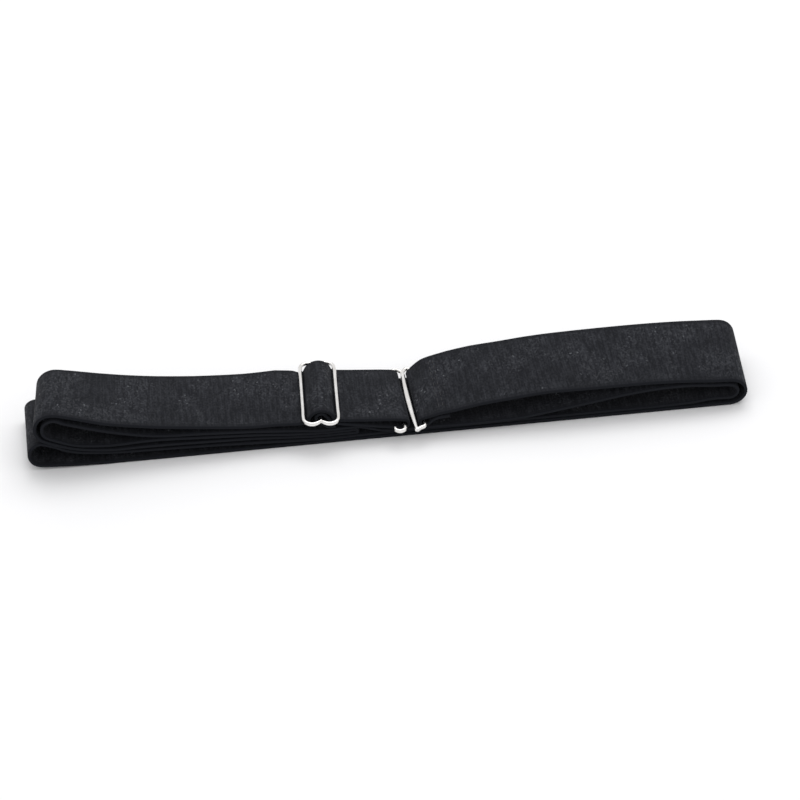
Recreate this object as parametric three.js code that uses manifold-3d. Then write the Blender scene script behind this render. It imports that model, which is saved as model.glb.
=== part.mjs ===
// An elastic shirt stay: one long black strap with a slider and a hook clasp, fastened in a loop
// and folded flat. It lies on its back, along X, with the slider and the clasp on top. Millimetres, +Z up.
import * as THREE from "three";
import { mergeVertices } from "three/addons/utils/BufferGeometryUtils.js";
import Module from "manifold-3d";

// The strap
const STRAP_WIDTH = 25;
const STRAP_THICKNESS = 1;
const EDGE_ROUNDING = 0.3; // bevel along both selvages
const LAYER_GAP = 0.1; // between two layers that lie on each other
const BUNDLE_REACH = 110; // from the middle of the folded bundle to its right fold
const STEP_ALONG = 6; // longest step of the sweep where the strap is bowed
const STEP_ROUND = 18; // degrees of a turn for each step
const FLAT_WITHIN = 0.01; // a stretch that is bowed less than this is one step
const TWIST_STEP = 0.4; // most that one selvage may rise over the other in a step

// The metal, and the room between it and the strap
const WIRE = 1.3;
const METAL_GAP = 0.3;
const WIRE_SIDES = 8;

const EDGE_ROOM = 0.45; // between the strap's selvage and the metal at its side

// The slider: two side wires and a middle bar across the strap, with two round lobes at each end
const SLIDER_SPAN = 10.3; // between the middles of the side wires
const SLIDER_NOTCH = 1.5; // depth of the notch between two lobes
const SLIDER_CORNER = 2.6; // height of a lobe's round corner
const SLIDER_TURN = 0.083; // how far its wires lean out of square, along for each mm across
const SLIDER_CROWN = 1.25; // the layer that slides lies this much wider over the middle bar
const SLIDER_AT = -0.1835 * BUNDLE_REACH;

// Beside the slider's left wire the strap rises again, round a short shoulder
const SHOULDER_RADIUS = 0.9;
const SHOULDER_AWAY = 2.4; // from the wire
const SHOULDER_RISE = 0.45;
const SHOULDER_LIFT = 0.04;

// The hook clasp: a flat middle bar, a closed half on the right and an open hook on the left
const HOOK_SPACING = 3.4; // from the middle bar to the hook's side bar
const CLOSED_SPACING = 2.9; // and to the side bar of the closed half
const CLASP_BLADE = 2; // widest part of the middle bar
const CLASP_AT = 0.0645 * BUNDLE_REACH;
const CLASP_SIDE = -1.2; // the strap lies this far towards the front there
const CLASP_SLIP = 0.6; // and the clasp has slipped this much further
const CLASP_CORNER = 1.7; // height of a round corner
const CLASP_CORNER_REACH = 0.45; // and its share of the way to the middle bar
const CLASP_BRANCH_DROP = 1.6; // how far in from its end the branches at the back meet the middle bar
const CLASP_FRONT_DROP = 1.2; // how much nearer the strap the closed half's front corner starts
const CURL_WIDTH = 2.9; // how far the hook's end curls out, so that the strap's loop stays on
const CURL_DEPTH = 1.4;
const CURL_END = 0.5; // length of its free end

// The sewn end of the strap under the slider, from the middle bar
const SLIDER_END = 4.4;

const LAYER = STRAP_THICKNESS + LAYER_GAP;
const RADIUS = WIRE / 2;
const LOOP = RADIUS + METAL_GAP + STRAP_THICKNESS / 2; // middle of a strap that is wound round a bar

// Each strand of the bundle. at: place along, as a share of BUNDLE_REACH. under: the room below the
// strand, in strap thicknesses. lift: rise of its back edge for each mm of width. side: its shift
// across, as a share of the width. lean: how far the crossing line leans out of square.
const TOP_LEFT = [
  { at: -0.3, under: 8.35, lift: 0.06, side: 0.02, lean: 0.07 },
  { at: -0.38, under: 8.5, lift: 0.045, side: 0.01, lean: 0.06 },
  { at: -0.52, under: 9.95, lift: 0.01, side: 0, lean: 0.04 },
  { at: -0.645, under: 11.7, lift: 0, side: 0, lean: 0.03 },
  { at: -0.765, under: 14.2, lift: -0.01, side: 0, lean: 0.05 },
  { at: -0.83, under: 16.2, lift: -0.05, side: 0, lean: 0.08 },
  { at: -0.88, under: 17.75, lift: -0.08, side: 0, lean: 0.1 },
];
const FOURTH = [
  { at: -0.885, under: 6.85, lift: -0.08, side: -0.01, lean: 0.08 },
  { at: -0.85, under: 5.6, lift: -0.06, side: -0.01, lean: 0.05 },
  { at: -0.765, under: 4.6, lift: -0.02, side: -0.01, lean: 0.02 },
  { at: -0.645, under: 4.8, lift: 0, side: -0.01, lean: 0 },
  { at: -0.52, under: 4.3, lift: 0, side: 0, lean: 0 },
  { at: -0.38, under: 3.6, lift: 0, side: 0.01, lean: 0 },
  { at: -0.275, under: 2.75, lift: 0, side: 0.01, lean: 0 },
  { at: -0.19, under: 2.2, lift: 0, side: 0.01, lean: 0 },
  { at: -0.12, under: 2.2, lift: 0, side: 0.01, lean: 0 },
];
const THIRD = [
  { at: -0.12, under: 3.3, lift: 0, side: 0.01, lean: 0 },
  { at: -0.19, under: 3.3, lift: 0, side: 0.01, lean: 0 },
  { at: -0.275, under: 4, lift: 0, side: 0, lean: 0 },
  { at: -0.38, under: 5.1, lift: 0, side: 0, lean: 0 },
  { at: -0.52, under: 6.2, lift: 0, side: -0.01, lean: 0 },
  { at: -0.645, under: 6.9, lift: 0, side: -0.01, lean: 0 },
  { at: -0.765, under: 6.3, lift: -0.02, side: -0.01, lean: 0.02 },
  { at: -0.85, under: 7.1, lift: -0.05, side: -0.01, lean: 0.05 },
  { at: -0.888, under: 8.6, lift: -0.07, side: -0.01, lean: 0.07 },
];
const SECOND = [
  { at: -0.88, under: 15.5, lift: -0.07, side: -0.01, lean: 0.08 },
  { at: -0.85, under: 14.3, lift: -0.06, side: -0.01, lean: 0.07 },
  { at: -0.765, under: 11.4, lift: -0.02, side: -0.01, lean: 0.02 },
  { at: -0.645, under: 8.5, lift: 0, side: -0.01, lean: 0 },
  { at: -0.52, under: 7.6, lift: 0, side: -0.01, lean: 0 },
  { at: -0.38, under: 6.4, lift: 0, side: 0, lean: 0 },
  { at: -0.275, under: 5.3, lift: 0, side: 0, lean: 0 },
  { at: -0.19, under: 4.4, lift: 0, side: 0, lean: 0 },
  { at: -0.086, under: 4.4, lift: 0, side: 0, lean: 0 },
  { at: -0.05, under: 3.25, lift: 0, side: 0, lean: 0 },
  { at: -0.02, under: 2.45, lift: 0, side: -0.01, lean: 0 },
  { at: 0.11, under: 2.35, lift: 0, side: -0.02, lean: 0 },
  { at: 0.25, under: 2.45, lift: 0, side: -0.04, lean: 0 },
  { at: 0.36, under: 3.5, lift: 0.05, side: -0.04, lean: 0.02 },
  { at: 0.44, under: 4.9, lift: 0.08, side: -0.03, lean: 0.02 },
  { at: 0.58, under: 7.6, lift: 0.12, side: -0.02, lean: 0.04 },
  { at: 0.66, under: 9.1, lift: 0.14, side: -0.01, lean: 0.04 },
  { at: 0.76, under: 10.1, lift: 0.15, side: 0, lean: 0.05 },
  { at: 0.84, under: 10.2, lift: 0.16, side: 0, lean: 0.06 },
  { at: 0.91, under: 9.6, lift: 0.17, side: 0, lean: 0.1 },
];
const FIFTH = [
  { at: 0.91, under: 2.9, lift: 0.04, side: 0, lean: 0.06 },
  { at: 0.85, under: 1.95, lift: 0.02, side: 0, lean: 0.04 },
  { at: 0.77, under: 1.25, lift: 0, side: 0.01, lean: 0.02 },
  { at: 0.6, under: 1.2, lift: 0, side: 0.01, lean: 0 },
  { at: 0.4, under: 1.15, lift: 0, side: 0.015, lean: 0 },
  { at: 0, under: 1.15, lift: 0, side: 0.01, lean: 0 },
  { at: -0.19, under: 1.12, lift: 0, side: 0, lean: 0 },
  { at: -0.275, under: 1.5, lift: 0, side: 0, lean: 0 },
  { at: -0.38, under: 2.1, lift: 0, side: 0, lean: 0 },
  { at: -0.52, under: 2.6, lift: 0, side: 0.01, lean: 0 },
  { at: -0.645, under: 3, lift: 0, side: 0.01, lean: 0 },
  { at: -0.765, under: 3.2, lift: -0.02, side: 0.01, lean: 0 },
  { at: -0.85, under: 4.1, lift: -0.06, side: 0, lean: 0 },
  { at: -0.888, under: 5.1, lift: -0.09, side: 0, lean: 0.01 },
  { at: -0.908, under: 6.2, lift: -0.1, side: 0, lean: 0.01 },
];
const BOTTOM = [
  { at: -0.88, under: 0.45, lift: 0, side: 0, lean: 0 },
  { at: -0.8, under: 0.05, lift: 0, side: 0, lean: 0 },
  { at: -0.72, under: 0, lift: 0, side: 0, lean: 0 },
  { at: 0, under: 0, lift: 0, side: 0, lean: 0 },
  { at: 0.8, under: 0, lift: 0, side: 0, lean: 0.02 },
  { at: 0.92, under: 0, lift: 0, side: 0, lean: 0.05 },
];
const TOP_RIGHT = [
  { at: 0.91, under: 11.4, lift: 0.18, side: 0, lean: 0.1 },
  { at: 0.84, under: 12, lift: 0.17, side: 0, lean: 0.05 },
  { at: 0.73, under: 12.5, lift: 0.155, side: 0, lean: 0.03 },
  { at: 0.55, under: 12.5, lift: 0.145, side: 0, lean: 0 },
  { at: 0.43, under: 12.3, lift: 0.12, side: 0, lean: 0 },
  { at: 0.335, under: 11.35, lift: 0.12, side: 0, lean: 0 },
  { at: 0.255, under: 10.65, lift: 0.13, side: -0.01, lean: 0 },
  { at: 0.185, under: 9.6, lift: 0.13, side: -0.025, lean: 0 },
  { at: 0.117, under: 8.1, lift: 0.1, side: -0.04, lean: 0 },
];
// The sewn end at the clasp, folded back under the top strand
const UNDER_TOP = [
  { at: 0.1215, under: 6.88, lift: 0.1, side: -0.044, lean: 0 },
  { at: 0.1605, under: 7.73, lift: 0.119, side: -0.044, lean: 0 },
];

// Each fold: the middle and radius of its turn, in the same shares and thicknesses. turn: 1 goes
// round to the left, -1 to the right. Its lift, side and lean run over from one strand to the next.
const UPPER_LEFT_FOLD = { at: -0.908, middle: 13.9, radius: 4.9, turn: 1 };
const INNER_LEFT_FOLD = { at: -0.905, middle: 13.75, radius: 3.35, turn: -1 };
const LOWER_LEFT_FOLD = { at: -0.9515, middle: 5, radius: 3.4, turn: 1 };
const SHORT_FOLD = { at: -0.097, middle: 3.25, radius: 0.6, turn: 1 };
const INNER_RIGHT_FOLD = { at: 0.9525, middle: 6.5, radius: 3.2, turn: -1 };
const OUTER_RIGHT_FOLD = { at: 0.954, middle: 6.05, radius: 5.5, turn: 1 };

// A place on a strand, as the middle of the strap there
const place = ({ at, under, ...rest }) => ({
  x: at * BUNDLE_REACH,
  z: (under + 0.5) * STRAP_THICKNESS,
  radius: 0,
  turn: 0,
  ...rest,
});
const fold = ({ at, middle, radius, turn, ...rest }) => ({
  x: at * BUNDLE_REACH,
  z: middle * STRAP_THICKNESS,
  radius: radius * STRAP_THICKNESS,
  turn,
  ...rest,
});

// Where the slider and the clasp lie, from what is under them
const STRANDS_BELOW = 5;
const SLIDER_LAYERS = 3; // the sewn end, the layer to the clasp and the layer that slides
const CLASP_STRANDS_BELOW = 3;
const stackUnderSlider = STRANDS_BELOW * LAYER;
const sliderHeight = stackUnderSlider + SLIDER_LAYERS * LAYER - LAYER_GAP + METAL_GAP + RADIUS;
const claspHeight = CLASP_STRANDS_BELOW * LAYER + 2 * LAYER_GAP + STRAP_THICKNESS / 2 + LOOP;

const wireOfSlider = (side, radius, turn) => ({
  x: SLIDER_AT + (side * SLIDER_SPAN) / 2,
  z: sliderHeight,
  radius,
  turn,
  lift: 0,
  side: 0,
  lean: SLIDER_TURN,
});
const barOfClasp = (side, radius, turn) => ({
  x: CLASP_AT + side,
  z: claspHeight,
  radius,
  turn,
  lift: 0,
  side: CLASP_SIDE / STRAP_WIDTH,
  lean: 0,
});

// The strap's whole way, from its sewn end under the slider to its sewn end at the clasp
const sewnEndAtSlider = {
  ...wireOfSlider(0, 0, 0),
  x: SLIDER_AT + SLIDER_END,
  z: stackUnderSlider + LAYER_GAP / 2 + STRAP_THICKNESS / 2,
};
const bendAtSlider = { ...sewnEndAtSlider, x: SLIDER_AT + LOOP + STRAP_THICKNESS };
const restOnShortFold = {
  ...wireOfSlider(0, 0, 0),
  x: (SHORT_FOLD.at + 0.01) * BUNDLE_REACH,
  z: stackUnderSlider + LAYER / 2 + LAYER_GAP,
  side: -0.025,
  lean: 0.04,
};
const overSliderBar = wireOfSlider(0, LOOP + LAYER + SLIDER_CROWN, 1);
overSliderBar.z -= SLIDER_CROWN;
const shoulder = { ...wireOfSlider(-1, SHOULDER_RADIUS, 1), lift: SHOULDER_LIFT };
shoulder.x -= SHOULDER_AWAY;
shoulder.z += SHOULDER_RISE - LOOP - SHOULDER_RADIUS;
const ROUTE = [
  sewnEndAtSlider,
  bendAtSlider,
  wireOfSlider(0, LOOP, -1),
  wireOfSlider(1, LOOP + LAYER, 1),
  restOnShortFold,
  barOfClasp(-HOOK_SPACING, LOOP, 1),
  wireOfSlider(1, LOOP, -1),
  overSliderBar,
  wireOfSlider(-1, LOOP, -1),
  shoulder,
  ...TOP_LEFT.map(place),
  fold(UPPER_LEFT_FOLD),
  ...FOURTH.map(place),
  fold(SHORT_FOLD),
  ...THIRD.map(place),
  fold(INNER_LEFT_FOLD),
  ...SECOND.map(place),
  fold(INNER_RIGHT_FOLD),
  ...FIFTH.map(place),
  fold(LOWER_LEFT_FOLD),
  ...BOTTOM.map(place),
  fold(OUTER_RIGHT_FOLD),
  ...TOP_RIGHT.map(place),
  barOfClasp(CLOSED_SPACING, LOOP, 1),
  ...UNDER_TOP.map(place),
];

// The heading of the straight stretch that leaves circle a and meets circle b
function headingBetween(a, b) {
  const across = b.radius * b.turn - a.radius * a.turn;
  const apart = Math.hypot(b.x - a.x, b.z - a.z);
  const drift = Math.asin(THREE.MathUtils.clamp(across / apart, -1, 1));
  return Math.atan2(b.z - a.z, b.x - a.x) - drift;
}

// The points of the route: each circle is wound from the heading it is met at to the one it is left at
function pointsOfRoute(route) {
  const points = [];
  route.forEach((circle, i) => {
    const { lift, side, lean } = circle;
    const add = (heading) => {
      const out = circle.radius * circle.turn;
      const x = circle.x + out * Math.sin(heading);
      const z = circle.z - out * Math.cos(heading);
      points.push({ x, z, lift, side, lean });
    };
    if (circle.radius === 0) {
      add(0);
      return;
    }
    const met = headingBetween(route[i - 1], circle);
    const left = headingBetween(circle, route[i + 1]);
    const whole = 2 * Math.PI;
    let swing = (circle.turn * (left - met)) % whole;
    swing = swing < 0 ? swing + whole : swing;
    const steps = Math.max(1, Math.round(THREE.MathUtils.radToDeg(swing) / STEP_ROUND));
    for (let k = 0; k <= steps; k++) {
      add(met + (circle.turn * swing * k) / steps);
    }
  });
  return carriedOver(points);
}

// The points of a fold, with lift, side and lean carried over from the point before it to the one after
function carriedOver(points) {
  const known = (p) => p.lift !== undefined;
  return points.map((p, i) => {
    if (known(p)) {
      return p;
    }
    const before = points.findLastIndex((q, j) => j < i && known(q));
    const after = points.findIndex((q, j) => j > i && known(q));
    const share = THREE.MathUtils.smoothstep(i, before, after);
    const blend = (name) => THREE.MathUtils.lerp(points[before][name], points[after][name], share);
    return { ...p, lift: blend("lift"), side: blend("side"), lean: blend("lean") };
  });
}

// A closed body swept through rings of equal numbers of points, open at neither end
function bodyThrough(rings, closed = false) {
  const sides = rings[0].length;
  const position = rings.flat().flatMap((p) => [p.x, p.y, p.z]);
  const index = [];
  const spans = closed ? rings.length : rings.length - 1;
  for (let i = 0; i < spans; i++) {
    const here = i * sides;
    const next = ((i + 1) % rings.length) * sides;
    for (let k = 0; k < sides; k++) {
      const turned = (k + 1) % sides;
      index.push(here + k, next + k, next + turned);
      index.push(here + k, next + turned, here + turned);
    }
  }
  if (!closed) {
    const last = (rings.length - 1) * sides;
    for (let k = 1; k < sides - 1; k++) {
      index.push(0, k, k + 1);
      index.push(last, last + k + 1, last + k);
    }
  }
  const geometry = new THREE.BufferGeometry();
  geometry.setAttribute("position", new THREE.Float32BufferAttribute(position, 3));
  geometry.setIndex(index);
  return facingOut(geometry);
}

function facingOut(geometry) {
  const p = geometry.getAttribute("position");
  const index = geometry.index.array;
  const [a, b, c] = [new THREE.Vector3(), new THREE.Vector3(), new THREE.Vector3()];
  let volume = 0;
  for (let i = 0; i < index.length; i += 3) {
    a.fromBufferAttribute(p, index[i]);
    b.fromBufferAttribute(p, index[i + 1]);
    c.fromBufferAttribute(p, index[i + 2]);
    volume += a.dot(b.cross(c));
  }
  if (volume < 0) {
    for (let i = 0; i < index.length; i += 3) {
      [index[i + 1], index[i + 2]] = [index[i + 2], index[i + 1]];
    }
  }
  return geometry;
}

// The strap's section, across and through: flat, with bevelled selvages
function strapSection() {
  const across = STRAP_WIDTH / 2;
  const through = STRAP_THICKNESS / 2;
  return [
    [-across, through - EDGE_ROUNDING],
    [-across, EDGE_ROUNDING - through],
    [EDGE_ROUNDING - across, -through],
    [across - EDGE_ROUNDING, -through],
    [across, EDGE_ROUNDING - through],
    [across, through - EDGE_ROUNDING],
    [across - EDGE_ROUNDING, through],
    [EDGE_ROUNDING - across, through],
  ];
}

function strap() {
  const points = pointsOfRoute(ROUTE);
  const middle = new THREE.CatmullRomCurve3(
    points.map((p) => new THREE.Vector3(p.x, 0, p.z)),
    false,
    "centripetal",
  );
  const section = strapSection();
  const rings = [];
  const spans = points.length - 1;
  for (let i = 0; i < spans; i++) {
    const [a, b] = [points[i], points[i + 1]];
    const halfway = middle.getPoint((i + 0.5) / spans);
    const bow = Math.hypot(halfway.x - (a.x + b.x) / 2, halfway.z - (a.z + b.z) / 2);
    const twisted = Math.ceil((Math.abs(b.lift - a.lift) * STRAP_WIDTH) / TWIST_STEP);
    const bowed = bow < FLAT_WITHIN ? 1 : Math.ceil(Math.hypot(b.x - a.x, b.z - a.z) / STEP_ALONG);
    const steps = Math.max(1, twisted, bowed);
    const stops = i === spans - 1 ? steps + 1 : steps;
    for (let k = 0; k < stops; k++) {
      const share = k / steps;
      const along = (i + share) / spans;
      const at = middle.getPoint(along);
      const heading = middle.getTangent(along);
      const lift = THREE.MathUtils.lerp(a.lift, b.lift, share);
      const side = THREE.MathUtils.lerp(a.side, b.side, share) * STRAP_WIDTH;
      const lean = THREE.MathUtils.lerp(a.lean, b.lean, share);
      rings.push(
        section.map(([v, h]) => {
          const x = at.x + v * lean - h * heading.z;
          const z = at.z + v * lift + h * heading.x;
          return new THREE.Vector3(x, side + v, z);
        }),
      );
    }
  }
  return bodyThrough(rings);
}

// A round wire along points of the plan, with its own half widths where they are given
function wireThrough(points, closed = false) {
  const last = points.length - 1;
  const rings = points.map((p, i) => {
    const before = points[closed ? (i + last) % points.length : Math.max(0, i - 1)];
    const after = points[closed ? (i + 1) % points.length : Math.min(last, i + 1)];
    const heading = Math.atan2(after.y - before.y, after.x - before.x);
    const ring = [];
    for (let k = 0; k < WIRE_SIDES; k++) {
      const angle = ((k + 0.5) / WIRE_SIDES) * 2 * Math.PI;
      const out = (p.half ?? RADIUS) * Math.cos(angle);
      const up = RADIUS * Math.sin(angle);
      ring.push(new THREE.Vector3(p.x - out * Math.sin(heading), p.y + out * Math.cos(heading), up));
    }
    return ring;
  });
  return bodyThrough(rings, closed);
}

const wasm = await Module();
wasm.setup();

// Several closed shapes as one
function joined(...geometries) {
  const solids = geometries.map((geometry) => {
    const merged = mergeVertices(geometry, 1e-4);
    return new wasm.Manifold(
      new wasm.Mesh({
        numProp: 3,
        vertProperties: merged.getAttribute("position").array,
        triVerts: new Uint32Array(merged.index.array),
      }),
    );
  });
  const whole = solids.reduce((sum, solid) => sum.add(solid)).getMesh();
  const geometry = new THREE.BufferGeometry();
  geometry.setAttribute("position", new THREE.Float32BufferAttribute(whole.vertProperties, 3));
  geometry.setIndex(new THREE.Uint32BufferAttribute(whole.triVerts, 1));
  return geometry;
}

// Middle of the wire at a notch of the slider, clear of the strap's selvage
const sliderNotch = STRAP_WIDTH / 2 + EDGE_ROOM + RADIUS;

const quarter = (k, steps) => (k / steps) * (Math.PI / 2);

// One quarter of the slider's outline, from its side wire to the notch between its lobes
function sliderQuarter(mirrorX, mirrorY) {
  const halfSpan = SLIDER_SPAN / 2;
  const lobe = halfSpan / 2;
  const top = sliderNotch + SLIDER_NOTCH;
  const points = [];
  for (let k = 0; k <= 5; k++) {
    const angle = quarter(k, 5);
    points.push([lobe + lobe * Math.cos(angle), top - SLIDER_CORNER * (1 - Math.sin(angle))]);
  }
  for (let k = 1; k <= 4; k++) {
    const angle = quarter(k, 4);
    points.push([lobe * (1 - k / 4), top - SLIDER_NOTCH * (1 - Math.cos(angle))]);
  }
  return points.map(([x, y]) => ({ x: mirrorX * x, y: mirrorY * y }));
}

function slider() {
  const rightBack = sliderQuarter(1, 1);
  const leftBack = sliderQuarter(-1, 1).reverse().slice(1);
  const leftFront = sliderQuarter(-1, -1);
  const rightFront = sliderQuarter(1, -1).reverse().slice(1);
  const outline = wireThrough([...rightBack, ...leftBack, ...leftFront, ...rightFront], true);
  const bar = wireThrough([
    { x: 0, y: -sliderNotch },
    { x: 0, y: sliderNotch },
  ]);
  return joined(outline, bar);
}

// A round corner of the clasp's plan, from the end of a side bar to the branch that leaves it
function claspCorner(spacing, mirrorX, mirrorY, straight) {
  const points = [];
  for (let k = 0; k <= 4; k++) {
    const angle = quarter(k, 4);
    const x = spacing * (1 - CLASP_CORNER_REACH * (1 - Math.cos(angle)));
    points.push({ x: mirrorX * x, y: mirrorY * (straight + CLASP_CORNER * Math.sin(angle)) });
  }
  return points;
}

function hookClasp() {
  const straight = STRAP_WIDTH / 2 + CLASP_SLIP + EDGE_ROOM;
  const end = straight + CLASP_CORNER;
  const meeting = end - CLASP_BRANCH_DROP;
  const blade = [];
  for (let k = 0; k <= 10; k++) {
    const y = THREE.MathUtils.lerp(-end, meeting, k / 10);
    const half = THREE.MathUtils.lerp(RADIUS, CLASP_BLADE / 2, Math.sin((Math.PI * k) / 10));
    blade.push({ x: RADIUS - half, y, half });
  }
  const closedHalf = [
    { x: 0, y: meeting },
    ...claspCorner(CLOSED_SPACING, 1, 1, straight).reverse(),
    ...claspCorner(CLOSED_SPACING, 1, -1, straight - CLASP_FRONT_DROP),
    { x: 0, y: -end },
  ];
  const curl = [];
  for (let k = 0; k <= 8; k++) {
    const angle = (k / 8) * Math.PI;
    const x = -HOOK_SPACING - (CURL_WIDTH / 2) * (1 - Math.cos(angle));
    curl.push({ x, y: -straight - CURL_DEPTH * Math.sin(angle) });
  }
  const openHalf = [
    { x: 0, y: meeting },
    ...claspCorner(HOOK_SPACING, -1, 1, straight).reverse(),
    ...curl,
    { x: -HOOK_SPACING - CURL_WIDTH, y: CURL_END - straight },
  ];
  return joined(wireThrough(blade), wireThrough(closedHalf), wireThrough(openHalf));
}

const elastic = new THREE.MeshStandardMaterial({ color: 0x17181c, roughness: 0.85, metalness: 0 });
const nickel = new THREE.MeshStandardMaterial({ color: 0xd6d5d3, roughness: 0.2, metalness: 1 });

function named(name, geometry, material) {
  const mesh = new THREE.Mesh(geometry, material);
  mesh.name = name;
  return mesh;
}

const shirtStay = new THREE.Group();
shirtStay.add(named("elastic_strap", strap(), elastic));

const sliderMesh = named("slider", slider(), nickel);
sliderMesh.position.set(SLIDER_AT, 0, sliderHeight);
sliderMesh.rotation.set(0, 0, -Math.atan(SLIDER_TURN));
shirtStay.add(sliderMesh);

const claspMesh = named("hook_clasp", hookClasp(), nickel);
claspMesh.position.set(CLASP_AT, CLASP_SIDE - CLASP_SLIP, claspHeight);
shirtStay.add(claspMesh);

// The origin is under the middle of the bundle
const box = new THREE.Box3().setFromObject(shirtStay);
const centre = box.getCenter(new THREE.Vector3());
shirtStay.position.set(-centre.x, -centre.y, -box.min.z);

export default shirtStay;
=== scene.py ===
"""The looks of a shirt stay: one ribbed elastic strap, fastened in a loop and folded flat, with its
nickel slider and hook clasp. Metres, +Z up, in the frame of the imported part."""

import math

import bpy
from mathutils import Matrix, Vector


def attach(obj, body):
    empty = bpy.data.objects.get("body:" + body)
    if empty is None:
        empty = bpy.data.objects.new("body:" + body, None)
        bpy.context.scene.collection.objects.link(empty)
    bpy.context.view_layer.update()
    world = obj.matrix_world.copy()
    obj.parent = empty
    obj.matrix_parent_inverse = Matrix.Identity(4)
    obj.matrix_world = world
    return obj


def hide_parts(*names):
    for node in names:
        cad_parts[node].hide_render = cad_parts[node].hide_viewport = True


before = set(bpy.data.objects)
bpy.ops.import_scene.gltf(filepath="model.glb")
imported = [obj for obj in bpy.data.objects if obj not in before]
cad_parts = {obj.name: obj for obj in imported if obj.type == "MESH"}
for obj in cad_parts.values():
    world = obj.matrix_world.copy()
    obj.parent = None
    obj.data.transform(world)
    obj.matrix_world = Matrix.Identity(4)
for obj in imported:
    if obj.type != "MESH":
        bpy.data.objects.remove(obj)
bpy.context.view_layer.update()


# Camera
# It looks down on the bundle's front from a little left of square, as the photograph does, with a
# long lens, and is shifted so that the bundle lies a little below and left of the middle.
MM = 0.001
BUNDLE_MIDDLE = Vector((-1.623, 0.704, 0.0166)) * MM
CAMERA_AZIMUTH = math.radians(-8.7)
CAMERA_ELEVATION = math.radians(38)
CAMERA_DISTANCE = 813 * MM

bpy.ops.object.select_all(action="DESELECT")
towards_camera = Vector(
    (
        math.sin(CAMERA_AZIMUTH) * math.cos(CAMERA_ELEVATION),
        -math.cos(CAMERA_AZIMUTH) * math.cos(CAMERA_ELEVATION),
        math.sin(CAMERA_ELEVATION),
    )
)
bpy.ops.object.camera_add(
    location=BUNDLE_MIDDLE + towards_camera * CAMERA_DISTANCE,
    rotation=towards_camera.to_track_quat("Z", "Y").to_euler(),
)
camera = bpy.context.object
camera.name = "camera"
camera.data.lens = 120
camera.data.sensor_width = 36
camera.data.shift_x = 0.01875
camera.data.shift_y = 0.015
camera.data.clip_start = 0.02
camera.data.clip_end = 20
bpy.context.scene.camera = camera


# Elastic strap
# One belt of black elastic, 25 mm wide and 1 mm thick, woven with fine ribs across it, glittering
# threads in patches and plain selvages. From its sewn end it goes round the slider, the clasp's hook and
# the slider again, then back and forth in six strands to the clasp's other half.
STRAP_WIDTH = 25 * MM
STRAP_THICKNESS = 1 * MM
LAYER_GAP = 0.1 * MM
BUNDLE_REACH = 110 * MM
STEP_ROUND = math.radians(18)
WIRE_RADIUS = 0.65 * MM
METAL_GAP = 0.3 * MM
SLIDER_SPAN = 10.3 * MM
SLIDER_TURN = 0.083
SLIDER_CROWN = 1.25 * MM
SLIDER_AT = -0.1835 * BUNDLE_REACH
SHOULDER_RADIUS = 0.9 * MM
SHOULDER_AWAY = 2.4 * MM
SHOULDER_RISE = 0.45 * MM
SHOULDER_LIFT = 0.04
HOOK_SPACING = 3.4 * MM
CLOSED_SPACING = 2.9 * MM
CLASP_AT = 0.0645 * BUNDLE_REACH
CLASP_SIDE = -1.2 * MM
SLIDER_END = 4.4 * MM
LAYER = STRAP_THICKNESS + LAYER_GAP
LOOP = WIRE_RADIUS + METAL_GAP + STRAP_THICKNESS / 2

# Each strand: place along, room below in thicknesses, rise of its back edge, shift across and lean
TOP_LEFT = [
    (-0.3, 8.35, 0.06, 0.02, 0.07),
    (-0.38, 8.5, 0.045, 0.01, 0.06),
    (-0.52, 9.95, 0.01, 0, 0.04),
    (-0.645, 11.7, 0, 0, 0.03),
    (-0.765, 14.2, -0.01, 0, 0.05),
    (-0.83, 16.2, -0.05, 0, 0.08),
    (-0.88, 17.75, -0.08, 0, 0.1),
]
FOURTH = [
    (-0.885, 6.85, -0.08, -0.01, 0.08),
    (-0.85, 5.6, -0.06, -0.01, 0.05),
    (-0.765, 4.6, -0.02, -0.01, 0.02),
    (-0.645, 4.8, 0, -0.01, 0),
    (-0.52, 4.3, 0, 0, 0),
    (-0.38, 3.6, 0, 0.01, 0),
    (-0.275, 2.75, 0, 0.01, 0),
    (-0.19, 2.2, 0, 0.01, 0),
    (-0.12, 2.2, 0, 0.01, 0),
]
THIRD = [
    (-0.12, 3.3, 0, 0.01, 0),
    (-0.19, 3.3, 0, 0.01, 0),
    (-0.275, 4, 0, 0, 0),
    (-0.38, 5.1, 0, 0, 0),
    (-0.52, 6.2, 0, -0.01, 0),
    (-0.645, 6.9, 0, -0.01, 0),
    (-0.765, 6.3, -0.02, -0.01, 0.02),
    (-0.85, 7.1, -0.05, -0.01, 0.05),
    (-0.888, 8.6, -0.07, -0.01, 0.07),
]
SECOND = [
    (-0.88, 15.5, -0.07, -0.01, 0.08),
    (-0.85, 14.3, -0.06, -0.01, 0.07),
    (-0.765, 11.4, -0.02, -0.01, 0.02),
    (-0.645, 8.5, 0, -0.01, 0),
    (-0.52, 7.6, 0, -0.01, 0),
    (-0.38, 6.4, 0, 0, 0),
    (-0.275, 5.3, 0, 0, 0),
    (-0.19, 4.4, 0, 0, 0),
    (-0.086, 4.4, 0, 0, 0),
    (-0.05, 3.25, 0, 0, 0),
    (-0.02, 2.45, 0, -0.01, 0),
    (0.11, 2.35, 0, -0.02, 0),
    (0.25, 2.45, 0, -0.04, 0),
    (0.36, 3.5, 0.05, -0.04, 0.02),
    (0.44, 4.9, 0.08, -0.03, 0.02),
    (0.58, 7.6, 0.12, -0.02, 0.04),
    (0.66, 9.1, 0.14, -0.01, 0.04),
    (0.76, 10.1, 0.15, 0, 0.05),
    (0.84, 10.2, 0.16, 0, 0.06),
    (0.91, 9.6, 0.17, 0, 0.1),
]
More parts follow.
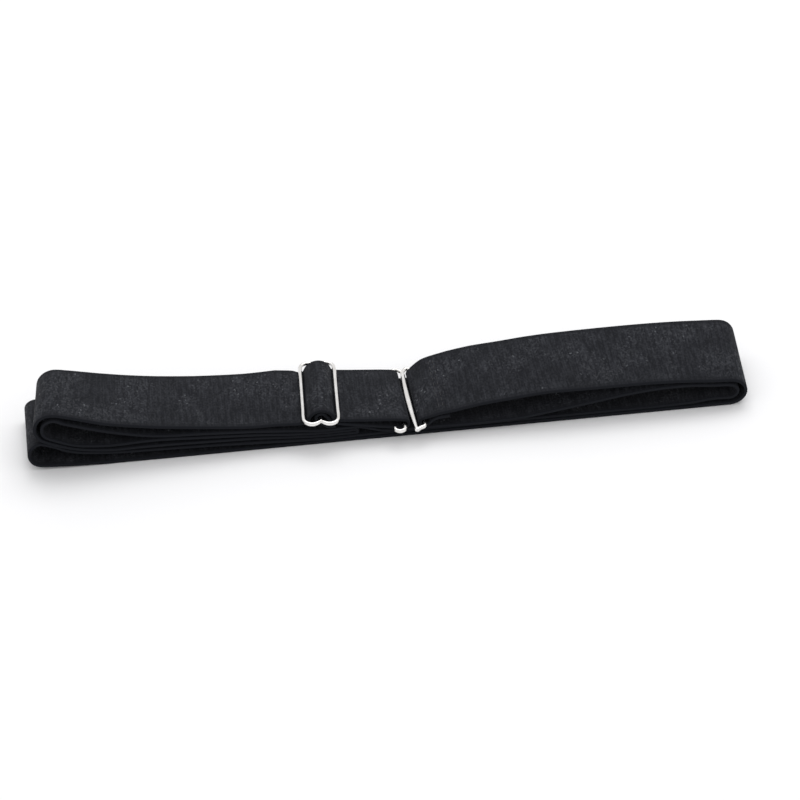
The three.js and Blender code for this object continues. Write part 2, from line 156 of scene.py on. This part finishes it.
FIFTH = [
    (0.91, 2.9, 0.04, 0, 0.06),
    (0.85, 1.95, 0.02, 0, 0.04),
    (0.77, 1.25, 0, 0.01, 0.02),
    (0.6, 1.2, 0, 0.01, 0),
    (0.4, 1.15, 0, 0.015, 0),
    (0, 1.15, 0, 0.01, 0),
    (-0.19, 1.12, 0, 0, 0),
    (-0.275, 1.5, 0, 0, 0),
    (-0.38, 2.1, 0, 0, 0),
    (-0.52, 2.6, 0, 0.01, 0),
    (-0.645, 3, 0, 0.01, 0),
    (-0.765, 3.2, -0.02, 0.01, 0),
    (-0.85, 4.1, -0.06, 0, 0),
    (-0.888, 5.1, -0.09, 0, 0.01),
    (-0.908, 6.2, -0.1, 0, 0.01),
]
BOTTOM = [
    (-0.88, 0.45, 0, 0, 0),
    (-0.8, 0.05, 0, 0, 0),
    (-0.72, 0, 0, 0, 0),
    (0, 0, 0, 0, 0),
    (0.8, 0, 0, 0, 0.02),
    (0.92, 0, 0, 0, 0.05),
]
TOP_RIGHT = [
    (0.91, 11.4, 0.18, 0, 0.1),
    (0.84, 12, 0.17, 0, 0.05),
    (0.73, 12.5, 0.155, 0, 0.03),
    (0.55, 12.5, 0.145, 0, 0),
    (0.43, 12.3, 0.12, 0, 0),
    (0.335, 11.35, 0.12, 0, 0),
    (0.255, 10.65, 0.13, -0.01, 0),
    (0.185, 9.6, 0.13, -0.025, 0),
    (0.117, 8.1, 0.1, -0.04, 0),
]
UNDER_TOP = [
    (0.1215, 6.88, 0.1, -0.044, 0),
    (0.1605, 7.73, 0.119, -0.044, 0),
]

# Each fold: place along, height of its middle, radius, and 1 if it turns to the left or -1 to the right
UPPER_LEFT_FOLD = (-0.908, 13.9, 4.9, 1)
INNER_LEFT_FOLD = (-0.905, 13.75, 3.35, -1)
LOWER_LEFT_FOLD = (-0.9515, 5, 3.4, 1)
SHORT_FOLD = (-0.097, 3.25, 0.6, 1)
INNER_RIGHT_FOLD = (0.9525, 6.5, 3.2, -1)
OUTER_RIGHT_FOLD = (0.954, 6.05, 5.5, 1)


def strand(stations):
    return [
        {
            "x": at * BUNDLE_REACH,
            "z": (under + 0.5) * STRAP_THICKNESS,
            "radius": 0,
            "turn": 0,
            "way": (lift, side, lean),
        }
        for at, under, lift, side, lean in stations
    ]


def fold(at, middle, radius, turn):
    return {
        "x": at * BUNDLE_REACH,
        "z": middle * STRAP_THICKNESS,
        "radius": radius * STRAP_THICKNESS,
        "turn": turn,
        "way": None,
    }


under_slider = 5 * LAYER
slider_height = under_slider + 3 * LAYER - LAYER_GAP + METAL_GAP + WIRE_RADIUS
clasp_height = 3 * LAYER + 2 * LAYER_GAP + STRAP_THICKNESS / 2 + LOOP


def slider_wire(side, radius, turn):
    return {
        "x": SLIDER_AT + side * SLIDER_SPAN / 2,
        "z": slider_height,
        "radius": radius,
        "turn": turn,
        "way": (0, 0, SLIDER_TURN),
    }


def clasp_bar(side, radius, turn):
    return {
        "x": CLASP_AT + side,
        "z": clasp_height,
        "radius": radius,
        "turn": turn,
        "way": (0, CLASP_SIDE / STRAP_WIDTH, 0),
    }


sewn_end = {
    "x": SLIDER_AT + SLIDER_END,
    "z": under_slider + LAYER_GAP / 2 + STRAP_THICKNESS / 2,
    "radius": 0,
    "turn": 0,
    "way": (0, 0, SLIDER_TURN),
}
sewn_end_bend = dict(sewn_end, x=SLIDER_AT + LOOP + STRAP_THICKNESS)
rest_on_short_fold = dict(
    sewn_end,
    x=(SHORT_FOLD[0] + 0.01) * BUNDLE_REACH,
    z=under_slider + LAYER / 2 + LAYER_GAP,
    way=(0, -0.025, 0.04),
)
over_slider_bar = slider_wire(0, LOOP + LAYER + SLIDER_CROWN, 1)
over_slider_bar["z"] -= SLIDER_CROWN
shoulder = dict(slider_wire(-1, SHOULDER_RADIUS, 1), way=(SHOULDER_LIFT, 0, SLIDER_TURN))
shoulder["x"] -= SHOULDER_AWAY
shoulder["z"] += SHOULDER_RISE - LOOP - SHOULDER_RADIUS
route = [
    sewn_end,
    sewn_end_bend,
    slider_wire(0, LOOP, -1),
    slider_wire(1, LOOP + LAYER, 1),
    rest_on_short_fold,
    clasp_bar(-HOOK_SPACING, LOOP, 1),
    slider_wire(1, LOOP, -1),
    over_slider_bar,
    slider_wire(-1, LOOP, -1),
    shoulder,
    *strand(TOP_LEFT),
    fold(*UPPER_LEFT_FOLD),
    *strand(FOURTH),
    fold(*SHORT_FOLD),
    *strand(THIRD),
    fold(*INNER_LEFT_FOLD),
    *strand(SECOND),
    fold(*INNER_RIGHT_FOLD),
    *strand(FIFTH),
    fold(*LOWER_LEFT_FOLD),
    *strand(BOTTOM),
    fold(*OUTER_RIGHT_FOLD),
    *strand(TOP_RIGHT),
    clasp_bar(CLOSED_SPACING, LOOP, 1),
    *strand(UNDER_TOP),
]


def heading_between(a, b):
    """The heading of the straight stretch that leaves circle a and meets circle b."""
    across = b["radius"] * b["turn"] - a["radius"] * a["turn"]
    apart = math.hypot(b["x"] - a["x"], b["z"] - a["z"])
    drift = math.asin(max(-1, min(1, across / apart)))
    return math.atan2(b["z"] - a["z"], b["x"] - a["x"]) - drift


def wound(route):
    """Points of the strap's middle, wound round each circle of the route, and how it lies at each."""
    points, ways = [], []
    for i, circle in enumerate(route):
        headings = [0.0]
        if circle["radius"]:
            met = heading_between(route[i - 1], circle)
            left = heading_between(circle, route[i + 1])
            swing = circle["turn"] * (left - met) % (2 * math.pi)
            steps = max(1, round(swing / STEP_ROUND))
            headings = [met + circle["turn"] * swing * k / steps for k in range(steps + 1)]
        out = circle["radius"] * circle["turn"]
        for heading in headings:
            points.append((circle["x"] + out * math.sin(heading), circle["z"] - out * math.cos(heading)))
            ways.append(circle["way"])
    known = [i for i, way in enumerate(ways) if way]
    for before, after in zip(known, known[1:]):
        for i in range(before + 1, after):
            share = (i - before) / (after - before)
            share *= share * (3 - 2 * share)
            ways[i] = tuple(a + (b - a) * share for a, b in zip(ways[before], ways[after]))
    return points, ways


SAME_PLACE = 1e-4


def smooth_span(points, i):
    """The cubic of span i of a centripetal curve through the points, as terms of x and z."""
    before = points[i - 1] if i else tuple(2 * a - b for a, b in zip(points[0], points[1]))
    last = len(points) - 1
    beyond = points[i + 2] if i + 2 <= last else tuple(2 * a - b for a, b in zip(points[-1], points[-2]))
    four = [before, points[i], points[i + 1], beyond]
    gaps = [math.dist(a, b) ** 0.5 for a, b in zip(four, four[1:])]
    gaps[1] = gaps[1] or 1.0
    gaps = [g if g > SAME_PLACE else gaps[1] for g in gaps]
    terms = []
    for p0, p1, p2, p3 in zip(*four):
        m1 = (p1 - p0) / gaps[0] - (p2 - p0) / (gaps[0] + gaps[1]) + (p2 - p1) / gaps[1]
        m2 = (p2 - p1) / gaps[1] - (p3 - p1) / (gaps[1] + gaps[2]) + (p3 - p2) / gaps[2]
        m1, m2 = m1 * gaps[1], m2 * gaps[1]
        terms.append((p1, m1, 3 * (p2 - p1) - 2 * m1 - m2, 2 * (p1 - p2) + m1 + m2))
    return terms


points, ways = wound(route)
spans = [smooth_span(points, i) for i in range(len(points) - 1)]
STOPS_A_SPAN = 24
strap_stops, middles = [(0.0, 0, 0.0)], [points[0]]
for i, terms in enumerate(spans):
    for k in range(1, STOPS_A_SPAN + 1):
        t = k / STOPS_A_SPAN
        middles.append(tuple(a + t * (b + t * (c + t * d)) for a, b, c, d in terms))
        strap_stops.append((strap_stops[-1][0] + math.dist(*middles[-2:]), i, t))
STRAP_LENGTH = strap_stops[-1][0]


def passes(x):
    """The distances along the strap at which its strands pass a place along the bundle, in order."""
    ends = zip(strap_stops, middles, middles[1:])
    return [stop[0] for stop, before, after in ends if (before[0] - x) * (after[0] - x) < 0]


def strap_frames(distances):
    """Middle, heading and way of the strap at distances along it that are in rising order."""
    frames, stop = [], 1
    for distance in distances:
        while stop < len(strap_stops) - 1 and strap_stops[stop][0] < distance:
            stop += 1
        (start, _, _), (end, i, t) = strap_stops[stop - 1], strap_stops[stop]
        t -= (end - distance) / (end - start) / STOPS_A_SPAN
        middle = [a + t * (b + t * (c + t * d)) for a, b, c, d in spans[i]]
        slope = [b + t * (2 * c + 3 * t * d) for _, b, c, d in spans[i]]
        size = math.hypot(*slope)
        way = [p + (q - p) * t for p, q in zip(ways[i], ways[i + 1])]
        frames.append((middle, (slope[0] / size, slope[1] / size), way))
    return frames


def on_strap(strap_frame, across, above):
    """A point of the strap, so far across it from its middle line and so far above its middle."""
    (x, z), (along, up), (lift, side, lean) = strap_frame
    y = side * STRAP_WIDTH + across
    return Vector((x + across * lean - above * up, y, z + across * lift + above * along)) + BUNDLE_MIDDLE


# The section has flat faces and round edges. Every other ring is thinner there, so that the ribs stand out
EDGE_ROUNDING = 0.3 * MM
RIB_PITCH = 0.75 * MM
RIB_DEPTH = 0.035 * MM
RIBS_FROM = 0.2 * MM
half_width, half_thickness = STRAP_WIDTH / 2, STRAP_THICKNESS / 2
section = []
for side, top in ((-1, 1), (-1, -1), (1, -1), (1, 1)):
    corner = (side * (half_width - EDGE_ROUNDING), top * (half_thickness - EDGE_ROUNDING))
    turns = (90, 60, 30, 0) if side * top < 0 else (0, 30, 60, 90)
    arc = [math.radians(a) for a in turns]
    section += [
        (corner[0] + side * EDGE_ROUNDING * math.cos(a), corner[1] + top * EDGE_ROUNDING * math.sin(a))
        for a in arc
    ]

ring_count = int(STRAP_LENGTH / (RIB_PITCH / 2))
distances = [STRAP_LENGTH * i / ring_count for i in range(ring_count + 1)]
strap_points, strap_uvs = [], []
for i, (distance, strap_frame) in enumerate(zip(distances, strap_frames(distances))):
    for across, above in section:
        thinner = RIB_DEPTH / half_thickness if i % 2 and abs(above) > RIBS_FROM else 0
        strap_points.append(on_strap(strap_frame, across, above * (1 - thinner)))
        strap_uvs.append((distance, across))
sides = len(section)
strap_faces = [
    (i * sides + k, (i + 1) * sides + k, (i + 1) * sides + (k + 1) % sides, i * sides + (k + 1) % sides)
    for i in range(ring_count)
    for k in range(sides)
]
strap_faces.append(tuple(range(sides)))
strap_faces.append(tuple(reversed(range(ring_count * sides, (ring_count + 1) * sides))))

strap_mesh = bpy.data.meshes.new("elastic")
strap_mesh.from_pydata(strap_points, [], strap_faces)
along_map = strap_mesh.uv_layers.new(name="along")
for loop in strap_mesh.loops:
    along_map.data[loop.index].uv = strap_uvs[loop.vertex_index]
strap_piece = bpy.data.objects.new("elastic", strap_mesh)
bpy.context.collection.objects.link(strap_piece)


def only(piece):
    """Deselects all else, so that the next operator acts on this piece alone."""
    bpy.ops.object.select_all(action="DESELECT")
    piece.select_set(True)
    bpy.context.view_layer.objects.active = piece


only(strap_piece)
bpy.ops.object.mode_set(mode="EDIT")
bpy.ops.mesh.select_all(action="SELECT")
bpy.ops.mesh.normals_make_consistent(inside=False)
bpy.ops.object.mode_set(mode="OBJECT")
bpy.ops.object.shade_smooth()


class Surface:
    """A material with its Principled shader. add() puts in any other node and returns its value."""

    def __init__(self, name, **constants):
        self.material = bpy.data.materials.new(name)
        self.material.use_nodes = True
        self.tree = self.material.node_tree
        self.shader = self.tree.nodes["Principled BSDF"]
        for socket, value in constants.items():
            self.shader.inputs[socket.replace("_", " ")].default_value = value

    def add(self, kind, settings, *values, output=0, **named):
        node = self.tree.nodes.new("ShaderNode" + kind)
        for setting, value in settings.items():
            setattr(node, setting, value)
        for socket, value in [*enumerate(values), *((k.replace("_", " "), v) for k, v in named.items())]:
            self.feed(node.inputs[socket], value)
        return Value(node.outputs[output], self)

    def feed(self, socket, value):
        if isinstance(value, Value):
            self.tree.links.new(value.socket, socket)
        else:
            socket.default_value = value

    def mix(self, share, low, high):
        """The colour that is low where share is 0 and high where it is 1."""
        mixed = self.add("Mix", {"data_type": "RGBA"}, output=2)
        inputs = mixed.socket.node.inputs
        for socket, value in ((inputs[0], share), (inputs[6], low), (inputs[7], high)):
            self.feed(socket, value)
        return mixed

    def set(self, **links):
        for socket, value in links.items():
            self.feed(self.shader.inputs[socket.replace("_", " ")], value)

    def bump(self, height, distance, strength=1.0):
        self.set(Normal=self.add("Bump", {}, Strength=strength, Distance=distance, Height=height))


class Value:
    """A number in a material, so that maths on it is written as an expression."""

    def __init__(self, socket, surface):
        self.socket, self.surface = socket, surface

    def math(self, operation, *values):
        return self.surface.add("Math", {"operation": operation}, *values)

    def __add__(self, other):
        return self.math("ADD", self, other)

    def __sub__(self, other):
        return self.math("SUBTRACT", self, other)

    def __rsub__(self, other):
        return self.math("SUBTRACT", other, self)

    def __mul__(self, other):
        return self.math("MULTIPLY", self, other)

    __radd__, __rmul__ = __add__, __mul__

    def wave(self, pitch):
        """1 at each whole pitch, and -1 halfway."""
        return self.math("COSINE", self * (2 * math.pi / pitch))

    def rising(self, low, high):
        """0 up to low and 1 from high, smooth between."""
        smooth = {"interpolation_type": "SMOOTHSTEP"}
        return self.surface.add("MapRange", smooth, self, low, high, 0.0, 1.0)


def rgb(red, green, blue):
    return (red, green, blue, 1.0)


# Across: plain selvages, and painted shade that darkens the side faces. Along: ribs, and one painted
# highlight, a pale sheen line where the strap crests over the slider's middle bar
SELVAGE = (10.9 * MM, 11.3 * MM)
# Painted shade: from this far out across the strap, its rounded edges and side faces get a darker colour
SHADED_SIDES = (11.9 * MM, 12.3 * MM)
WARP_PITCH = 0.62 * MM
WARP_WANDER = 0.15 * MM
# Painted highlight: a pale sheen line across the strap where it crests over the slider's middle bar
SHEEN_LINE_AT = passes(SLIDER_AT)[2]
SHEEN_LINE_FADE = (0.15 * MM, 0.6 * MM)

elastic = Surface("elastic", Roughness=0.8, Specular_IOR_Level=0.1)
place = elastic.add("UVMap", {"uv_map": "along"})
parts = elastic.add("SeparateXYZ", {}, place)
along = Value(parts.socket.node.outputs[0], elastic)
across = Value(parts.socket.node.outputs[1], elastic)
from_middle = across.math("ABSOLUTE", across)
selvage = from_middle.rising(*SELVAGE)
# Painted shade: a mask over the side faces, which are darkened as if they lay in shade
painted_side_shade = from_middle.rising(*SHADED_SIDES)
flat = {"noise_dimensions": "2D"}
patches = elastic.add("TexNoise", flat, Vector=place, Scale=85.0, Detail=3.0)
mottle = elastic.add("TexNoise", flat, Vector=place, Scale=1500.0, Detail=2.0)
drawn_out = elastic.add("Mapping", {}, Vector=place, Scale=(1.0, 0.15, 1.0))
columns = elastic.add("TexNoise", flat, Vector=drawn_out, Scale=1000.0, Detail=1.0)
rib = along.wave(RIB_PITCH)
warp = (across + WARP_WANDER * along.wave(2 * RIB_PITCH)).wave(WARP_PITCH)
yarn = elastic.add("Mapping", {}, Vector=place, Scale=(1.0, 0.7, 1.0))
cells = elastic.add("TexVoronoi", {"voronoi_dimensions": "2D"}, output=1, Vector=yarn, Scale=2300.0)
cell_tone = elastic.add("SeparateColor", {}, cells)
patchy = patches.rising(0.4, 0.62)
speck = cell_tone.rising(0.45, 1.0) * (0.3 + 0.7 * patchy) * (1 - selvage)
bright_speck = cell_tone.rising(0.985, 0.995) * patches.rising(0.46, 0.6) * (1 - selvage)
# Painted highlight: the strap's colour is made lighter along its crest over the slider's middle bar
painted_sheen_line = 1 - along.math("ABSOLUTE", along - SHEEN_LINE_AT).rising(*SHEEN_LINE_FADE)
tone = 0.3 + 0.1 * rib + 1.6 * (columns - 0.5) + 1.6 * (mottle - 0.5) + 0.7 * (patches - 0.5)
tone = tone * (1 - 0.4 * selvage) + 0.5 * painted_sheen_line * mottle
cloth = elastic.mix(tone, rgb(0.0102, 0.011, 0.0138), rgb(0.0265, 0.028, 0.0335))
glitter = elastic.mix(speck * 0.4, cloth, rgb(0.05, 0.053, 0.061))
brighter = elastic.mix(bright_speck, glitter, rgb(0.075, 0.079, 0.088))
# The last mix paints shade onto the side faces with a darker colour
elastic.set(
    Base_Color=elastic.mix(painted_side_shade, brighter, rgb(0.0086, 0.0096, 0.0125)),
    Roughness=0.82 - 0.25 * speck,
)
elastic.bump((0.5 * rib + 0.2 * warp) * (1 - selvage) + 0.6 * speck, 0.03 * MM, 0.6)
strap_mesh.materials.append(elastic.material)

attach(strap_piece, "root")
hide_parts("elastic_strap")


# Slider
# A frame of bright nickel-plated wire with a middle bar soldered across it. Its two side wires run
# across the strap and end in two round lobes each way, and the strap's sewn end hangs on the middle bar.
EDGE_ROOM = 0.45 * MM
SLIDER_NOTCH = 1.5 * MM
SLIDER_CORNER = 2.6 * MM
SIDE_STRAIGHT = 0.55
CORNER_STEPS = 5
NOTCH_STEPS = 4
SOLDER_GRAIN = 0.1 * MM
POLISHING = 14


def bent_wire(name, path, closed, widths=None):
    """A round wire through a path in its own plane, made of a curve and converted to a mesh."""
    bpy.ops.object.select_all(action="DESELECT")
    bpy.ops.curve.primitive_bezier_curve_add()
    wire = bpy.context.object
    wire.name = name
    wire.data.splines.clear()
    spline = wire.data.splines.new("BEZIER")
    spline.bezier_points.add(len(path) - 1)
    for i, (x, y) in enumerate(path):
        knot = spline.bezier_points[i]
        knot.co = (x, y, 0)
        knot.handle_left_type = knot.handle_right_type = "AUTO"
        knot.radius = widths[i] / WIRE_RADIUS if widths else 1
    spline.use_cyclic_u = closed
    wire.data.bevel_depth = WIRE_RADIUS
    wire.data.bevel_resolution = 6
    wire.data.resolution_u = 6
    wire.data.use_fill_caps = True
    bpy.ops.object.convert(target="MESH")
    return bpy.context.object


def soldered(name, wires, place):
    """The wires as one piece of metal with its joints filled, moved to its place."""
    bpy.ops.object.select_all(action="DESELECT")
    for wire in wires:
        wire.select_set(True)
    bpy.context.view_layer.objects.active = wires[0]
    bpy.ops.object.join()
    piece = bpy.context.object
    piece.name = piece.data.name = name
    fuse = piece.modifiers.new("fuse", "REMESH")
    fuse.mode = "VOXEL"
    fuse.voxel_size = SOLDER_GRAIN
    bpy.ops.object.modifier_apply(modifier="fuse")
    polish = piece.modifiers.new("polish", "SMOOTH")
    polish.iterations = POLISHING
    bpy.ops.object.modifier_apply(modifier="polish")
    piece.data.transform(place)
    bpy.ops.object.shade_smooth()
    return piece


slider_notch = STRAP_WIDTH / 2 + EDGE_ROOM + WIRE_RADIUS
lobe = SLIDER_SPAN / 4
lobe_top = slider_notch + SLIDER_NOTCH
quarter = [(2 * lobe, 0.0), (2 * lobe, SIDE_STRAIGHT * slider_notch)]
for k in range(CORNER_STEPS + 1):
    angle = k / CORNER_STEPS * math.pi / 2
    quarter.append((lobe + lobe * math.cos(angle), lobe_top - SLIDER_CORNER * (1 - math.sin(angle))))
for k in range(1, NOTCH_STEPS + 1):
    angle = k / NOTCH_STEPS * math.pi / 2
    quarter.append((lobe * (1 - k / NOTCH_STEPS), lobe_top - SLIDER_NOTCH * (1 - math.cos(angle))))
back = quarter + [(-x, y) for x, y in reversed(quarter[:-1])]
slider_outline = back + [(x, -y) for x, y in reversed(back[1:-1])]
slider_frame = bent_wire("slider_frame", slider_outline, True)
slider_bar = bent_wire("slider_bar", [(0, -slider_notch), (0, 0), (0, slider_notch)], False)
slider_place = Matrix.Translation(BUNDLE_MIDDLE + Vector((SLIDER_AT, 0, slider_height)))
slider_place @= Matrix.Rotation(-math.atan(SLIDER_TURN), 4, "Z")
slider_piece = soldered("nickel_slider", [slider_frame, slider_bar], slider_place)

nickel = Surface("nickel", Metallic=1.0, Roughness=0.16)
spot = nickel.add("TexCoord", {}, output=3)
haze = nickel.add("TexNoise", {}, Vector=spot, Scale=300.0, Detail=3.0)
nickel.set(
    Base_Color=nickel.mix(haze.rising(0.3, 0.7), rgb(0.76, 0.74, 0.72), rgb(0.84, 0.83, 0.82)),
    Roughness=0.12 + 0.1 * haze,
)
nickel.bump(haze, 0.01 * MM, 0.3)
slider_piece.data.materials.append(nickel.material)
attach(slider_piece, "root")
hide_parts("slider")


# Hook clasp
# Nickel-plated wire again: a middle bar pressed flat and wider at its middle, a closed half on the right
# that holds the strap's sewn end, and an open hook on the left with a curled end, in the strap's loop.
CLASP_BLADE = 2 * MM
CLASP_SLIP = 0.6 * MM
CLASP_CORNER = 1.7 * MM
CLASP_CORNER_SHARE = 0.45
CLASP_CORNER_STEPS = 4
BLADE_STEPS = 12
CLASP_BRANCH_DROP = 1.6 * MM
CLASP_FRONT_DROP = 1.2 * MM
CURL_WIDTH = 2.9 * MM
CURL_DEPTH = 1.4 * MM
CURL_END = 0.5 * MM
CURL_STEPS = 8

clasp_straight = STRAP_WIDTH / 2 + CLASP_SLIP + EDGE_ROOM
clasp_end = clasp_straight + CLASP_CORNER
clasp_meeting = clasp_end - CLASP_BRANCH_DROP


def clasp_corner(spacing, mirror_x, mirror_y, straight):
    """A round corner, from the end of a side bar to the branch that leaves it."""
    reach = CLASP_CORNER_SHARE * spacing
    corner = []
    for k in range(CLASP_CORNER_STEPS + 1):
        angle = k / CLASP_CORNER_STEPS * math.pi / 2
        x = spacing - reach * (1 - math.cos(angle))
        corner.append((mirror_x * x, mirror_y * (straight + CLASP_CORNER * math.sin(angle))))
    return corner


def blade_half(share):
    """Half the width of the middle bar, a share of the way from its front end to its back end."""
    return WIRE_RADIUS + (CLASP_BLADE / 2 - WIRE_RADIUS) * math.sin(math.pi * max(0, min(1, share)))


blade_length = clasp_meeting + clasp_end
blade_widths = [blade_half(k / BLADE_STEPS) for k in range(BLADE_STEPS + 1)]
blade_path = [
    (WIRE_RADIUS - half, -clasp_end + blade_length * k / BLADE_STEPS) for k, half in enumerate(blade_widths)
]
blade = bent_wire("blade", blade_path, False, blade_widths)
for vertex in blade.data.vertices:
    vertex.co.z *= WIRE_RADIUS / blade_half((vertex.co.y + clasp_end) / blade_length)

closed_half = bent_wire(
    "closed_half",
    [
        (0, clasp_meeting),
        *reversed(clasp_corner(CLOSED_SPACING, 1, 1, clasp_straight)),
        (CLOSED_SPACING, 0),
        *clasp_corner(CLOSED_SPACING, 1, -1, clasp_straight - CLASP_FRONT_DROP),
        (0, -clasp_end),
    ],
    False,
)
curl = []
for k in range(CURL_STEPS + 1):
    angle = k / CURL_STEPS * math.pi
    x = -HOOK_SPACING - CURL_WIDTH / 2 * (1 - math.cos(angle))
    curl.append((x, -clasp_straight - CURL_DEPTH * math.sin(angle)))
open_half = bent_wire(
    "open_half",
    [
        (0, clasp_meeting),
        *reversed(clasp_corner(HOOK_SPACING, -1, 1, clasp_straight)),
        (-HOOK_SPACING, 0),
        *curl,
        (-HOOK_SPACING - CURL_WIDTH, CURL_END - clasp_straight),
    ],
    False,
)
clasp_place = Matrix.Translation(
    BUNDLE_MIDDLE + Vector((CLASP_AT, CLASP_SIDE - CLASP_SLIP, clasp_height))
)
clasp_piece = soldered("nickel_hook_clasp", [blade, closed_half, open_half], clasp_place)
clasp_piece.data.materials.append(nickel.material)
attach(clasp_piece, "root")
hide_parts("hook_clasp")


# Seams
# Rows of black thread that hold the two folded ends of the strap to the strand above them, across the
# strap beside the clasp's bar and under the slider. Each stitch is a short round bead of thread.
STITCH = 1.7 * MM
STITCH_PITCH = 2.3 * MM
THREAD = 0.17 * MM
STITCHES_EACH_SIDE = 4
STITCH_LIFT = 0.02 * MM
SEAM_UNDER_SLIDER = 0.9 * MM
SEAMS_FROM_BAR = (4.6 * MM, 5.9 * MM)

bpy.ops.object.select_all(action="DESELECT")
bpy.ops.mesh.primitive_uv_sphere_add(segments=8, ring_count=8, radius=1)
stitch = bpy.context.object
stitch.name = "stitch"
stitch.data.transform(Matrix.Diagonal((THREAD, THREAD, STITCH / 2, 1)))
stitch.data.transform(Matrix.Rotation(math.pi / 2, 4, "X"))
bpy.ops.object.shade_smooth()

# Each row: its distance along the strap, and 1 on the strap's upper face there or -1 on its lower one
seam_rows = [(SEAM_UNDER_SLIDER, 1)]
for from_bar in SEAMS_FROM_BAR:
    top, under = passes(CLASP_AT + CLOSED_SPACING + from_bar)[-2:]
    seam_rows += [(top, -1), (under, -1)]

stitches = []
seam_rows.sort()
for (distance, face), seam_frame in zip(seam_rows, strap_frames([row[0] for row in seam_rows])):
    for i in range(-STITCHES_EACH_SIDE, STITCHES_EACH_SIDE + 1):
        copy = stitch.copy()
        copy.data = stitch.data.copy()
        bpy.context.collection.objects.link(copy)
        centre = on_strap(seam_frame, i * STITCH_PITCH, face * (half_thickness + STITCH_LIFT))
        ends = [
            on_strap(seam_frame, i * STITCH_PITCH + end, face * half_thickness) for end in (-STITCH, STITCH)
        ]
        turn = Vector((0, 1, 0)).rotation_difference(ends[1] - ends[0])
        copy.data.transform(Matrix.Translation(centre) @ turn.to_matrix().to_4x4())
        stitches.append(copy)
bpy.data.objects.remove(stitch)
bpy.ops.object.select_all(action="DESELECT")
for copy in stitches:
    copy.select_set(True)
bpy.context.view_layer.objects.active = stitches[0]
bpy.ops.object.join()
seams = bpy.context.object
seams.name = seams.data.name = "seams"

thread = Surface("thread", Roughness=0.6, Specular_IOR_Level=0.35)
grain = thread.add("TexNoise", {}, Vector=thread.add("TexCoord", {}, output=3), Scale=3000.0, Detail=2.0)
thread.set(
    Base_Color=thread.mix(grain.rising(0.3, 0.7), rgb(0.007, 0.007, 0.009), rgb(0.03, 0.03, 0.035)),
    Roughness=0.5 + 0.3 * grain,
)
thread.bump(grain, 0.03 * MM, 0.6)
seams.data.materials.append(thread.material)
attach(seams, "root")


# Floor and light
# A plain white floor in an evenly white room, with one weak softbox above and behind. So the shadow is
# pale and stays close to the bundle. The strap's sides fall off into black, partly from this light and
# partly from painted shade in their colour.
FLOOR_SIZE = 6
FLOOR_DROP = 0.05 * MM

bpy.ops.object.select_all(action="DESELECT")
bpy.ops.mesh.primitive_plane_add(size=FLOOR_SIZE, location=(0, 0, -FLOOR_DROP))
floor = bpy.context.object
floor.name = "floor"
white = Surface("floor", Base_Color=rgb(0.93, 0.93, 0.94), Roughness=0.7, Specular_IOR_Level=0.1)
floor.data.materials.append(white.material)

SOFTBOX_PLACE = Vector((0.15, 0.45, 0.95))
bpy.ops.object.light_add(type="AREA", location=SOFTBOX_PLACE)
softbox = bpy.context.object
softbox.name = "softbox"
softbox.data.shape = "RECTANGLE"
softbox.data.size, softbox.data.size_y = 0.9, 0.6
softbox.data.energy = 3.6
softbox.rotation_euler = SOFTBOX_PLACE.to_track_quat("Z", "Y").to_euler()

room = bpy.data.worlds.new("room")
room.use_nodes = True
room.node_tree.nodes["Background"].inputs["Color"].default_value = rgb(1, 1, 1)
room.node_tree.nodes["Background"].inputs["Strength"].default_value = 0.89
bpy.context.scene.world = room
bpy.context.scene.view_settings.view_transform = "Standard"
